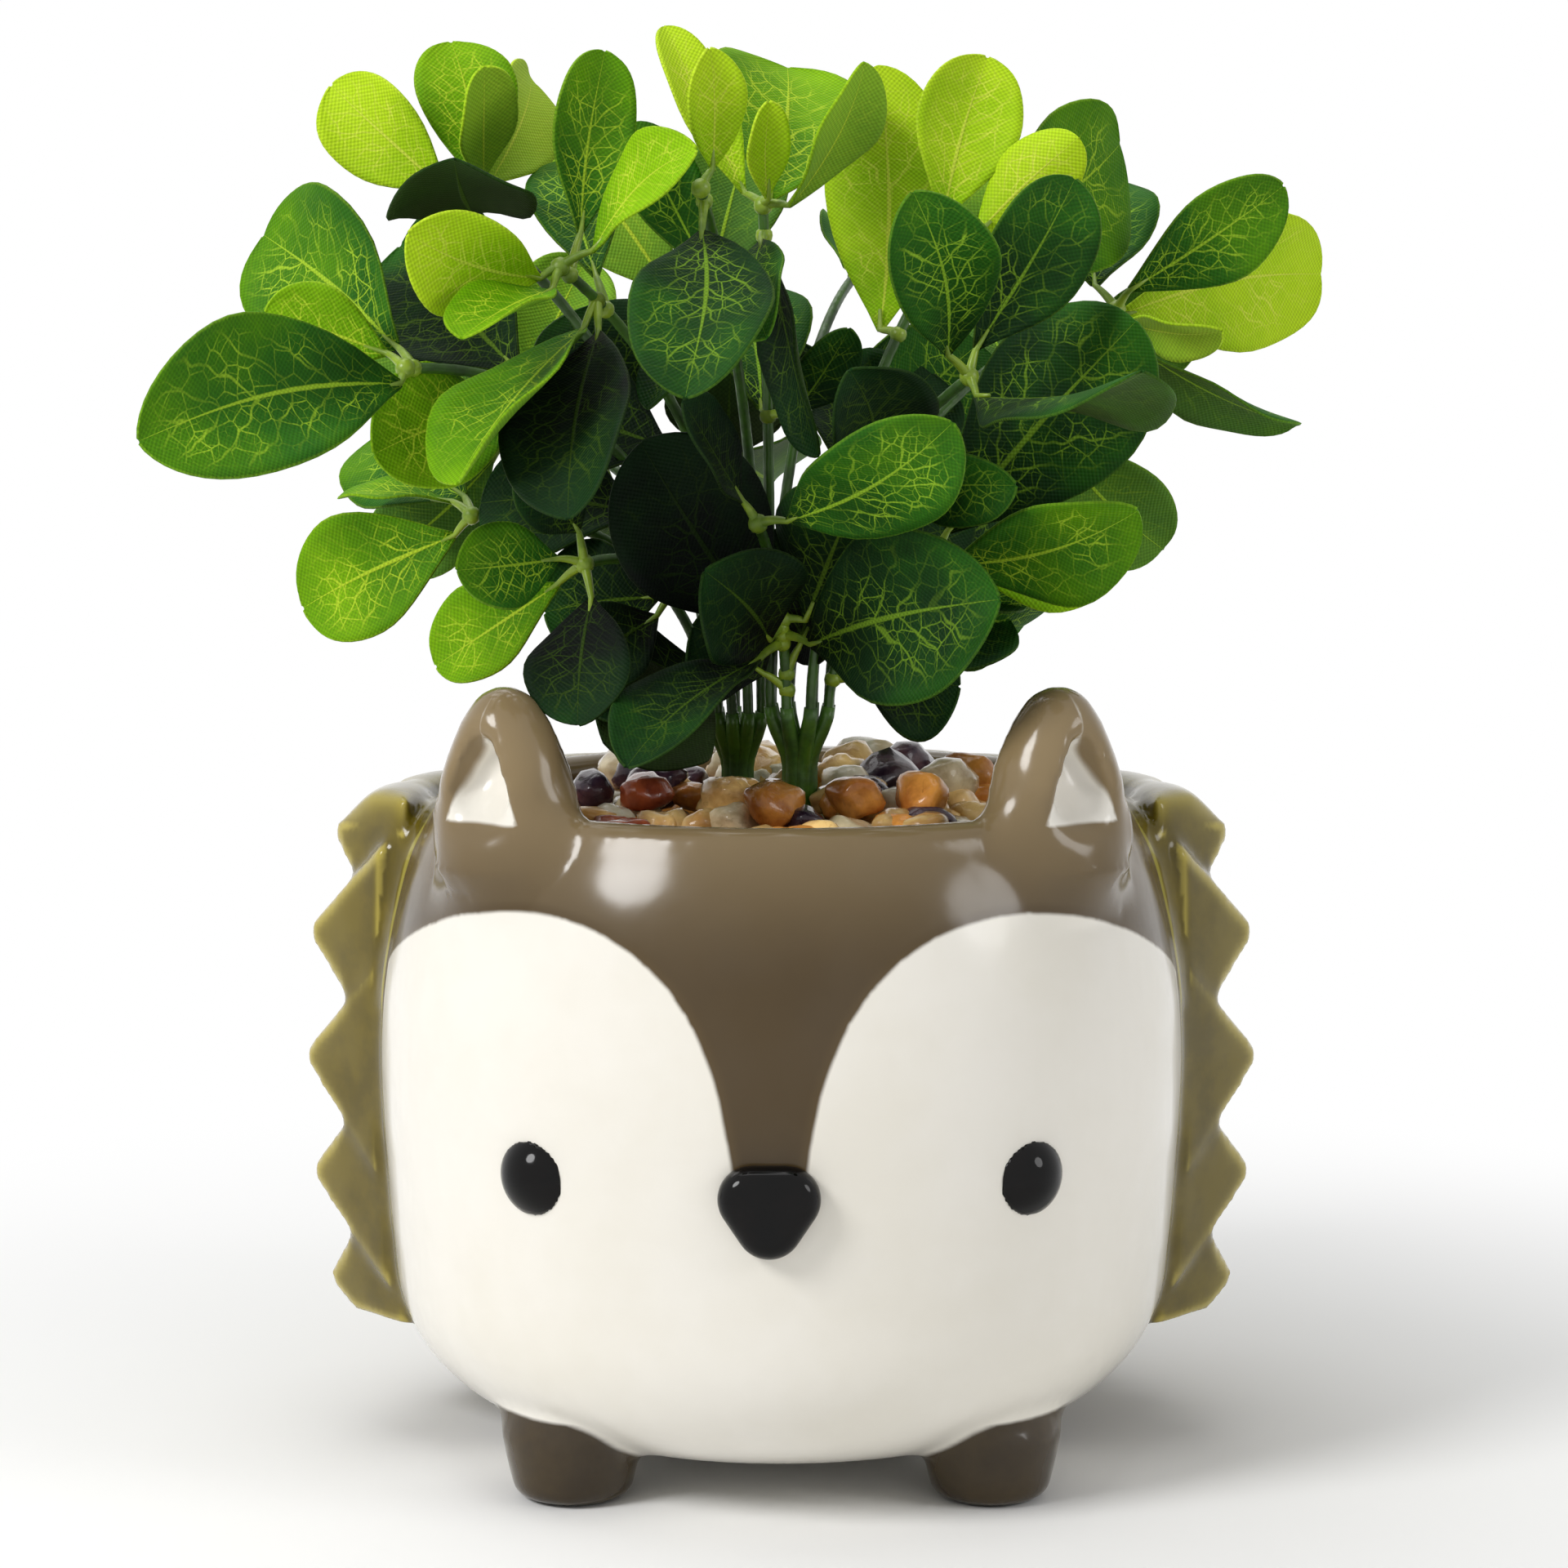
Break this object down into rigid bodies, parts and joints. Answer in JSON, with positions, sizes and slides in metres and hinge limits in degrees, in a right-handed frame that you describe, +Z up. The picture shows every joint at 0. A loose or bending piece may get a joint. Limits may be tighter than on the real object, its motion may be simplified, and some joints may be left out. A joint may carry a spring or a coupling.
{
  "type": "animal planter",
  "caption": "Glazed ceramic hedgehog pot on four feet with a spiny coat, filled with a lift-out insert of pebbles and an artificial leaf bush",
  "frame": {"origin": "on the floor under the middle of the whole, on the axis of the pot, between the four feet", "axes": "+Z up, the face looks along -Y, +X to the right of someone facing the face"},
  "size_m": [0.152, 0.1283, 0.1892],
  "materials": {
    "taupe_glaze": "gloss glaze",
    "olive_glaze": "gloss glaze",
    "foot_glaze": "gloss glaze",
    "black_glaze": "gloss glaze",
    "floral_foam": "open cell foam",
    "bonded_gravel": "bonded with clear glue",
    "tan_pebble": "polished",
    "amber_pebble": "polished",
    "dark_pebble": "polished",
    "grey_pebble": "polished",
    "white_pebble": "polished",
    "red_pebble": "polished",
    "trunk_plastic": "moulded",
    "sprig_plastic": "moulded",
    "core_steel": "drawn wire",
    "clip_plastic": "moulded",
    "leaf_fabric": "printed woven polyester",
    "lime_leaf_fabric": "printed woven polyester"
  },
  "bodies": {
    "pot": {"pot_body": "taupe_glaze", "spine_coat": "olive_glaze", "left_ear": "taupe_glaze", "right_ear": "taupe_glaze", "front_left_foot": "foot_glaze", "front_right_foot": "foot_glaze", "rear_left_foot": "foot_glaze", "rear_right_foot": "foot_glaze", "nose": "black_glaze", "left_eye": "black_glaze", "right_eye": "black_glaze"},
    "insert": {"amber_pebbles": "amber_pebble", "dark_pebbles": "dark_pebble", "foam_plug": "floral_foam", "gravel_bed": "bonded_gravel", "grey_pebbles": "grey_pebble", "left_core_wire": "core_steel", "left_leaf_clips": "clip_plastic", "left_leaves_back": "leaf_fabric", "left_leaves_centre": "leaf_fabric", "left_leaves_low": "leaf_fabric", "left_leaves_outer": "leaf_fabric", "left_leaves_rear": "leaf_fabric", "left_leaves_side": "leaf_fabric", "left_leaves_top": "lime_leaf_fabric", "left_leaves_upper": "leaf_fabric", "left_sprig_back": "sprig_plastic", "left_sprig_centre": "sprig_plastic", "left_sprig_low": "sprig_plastic", "left_sprig_outer": "sprig_plastic", "left_sprig_rear": "sprig_plastic", "left_sprig_side": "sprig_plastic", "left_sprig_top": "sprig_plastic", "left_sprig_upper": "sprig_plastic", "left_trunk": "trunk_plastic", "red_pebbles": "red_pebble", "right_core_wire": "core_steel", "right_leaf_clips": "clip_plastic", "right_leaves_back": "leaf_fabric", "right_leaves_front": "leaf_fabric", "right_leaves_low": "leaf_fabric", "right_leaves_mid": "leaf_fabric", "right_leaves_outer": "leaf_fabric", "right_leaves_rear": "leaf_fabric", "right_leaves_top": "lime_leaf_fabric", "right_leaves_upper": "lime_leaf_fabric", "right_sprig_back": "sprig_plastic", "right_sprig_front": "sprig_plastic", "right_sprig_low": "sprig_plastic", "right_sprig_mid": "sprig_plastic", "right_sprig_outer": "sprig_plastic", "right_sprig_rear": "sprig_plastic", "right_sprig_top": "sprig_plastic", "right_sprig_upper": "sprig_plastic", "right_trunk": "trunk_plastic", "tan_pebbles": "tan_pebble", "white_pebbles": "white_pebble"}
  },
  "joints": [
    {"name": "insert_lift", "type": "slide", "parent": "pot", "child": "insert", "axis": [0, 0, 1], "range_m": [0, 0.11]}
  ]
}
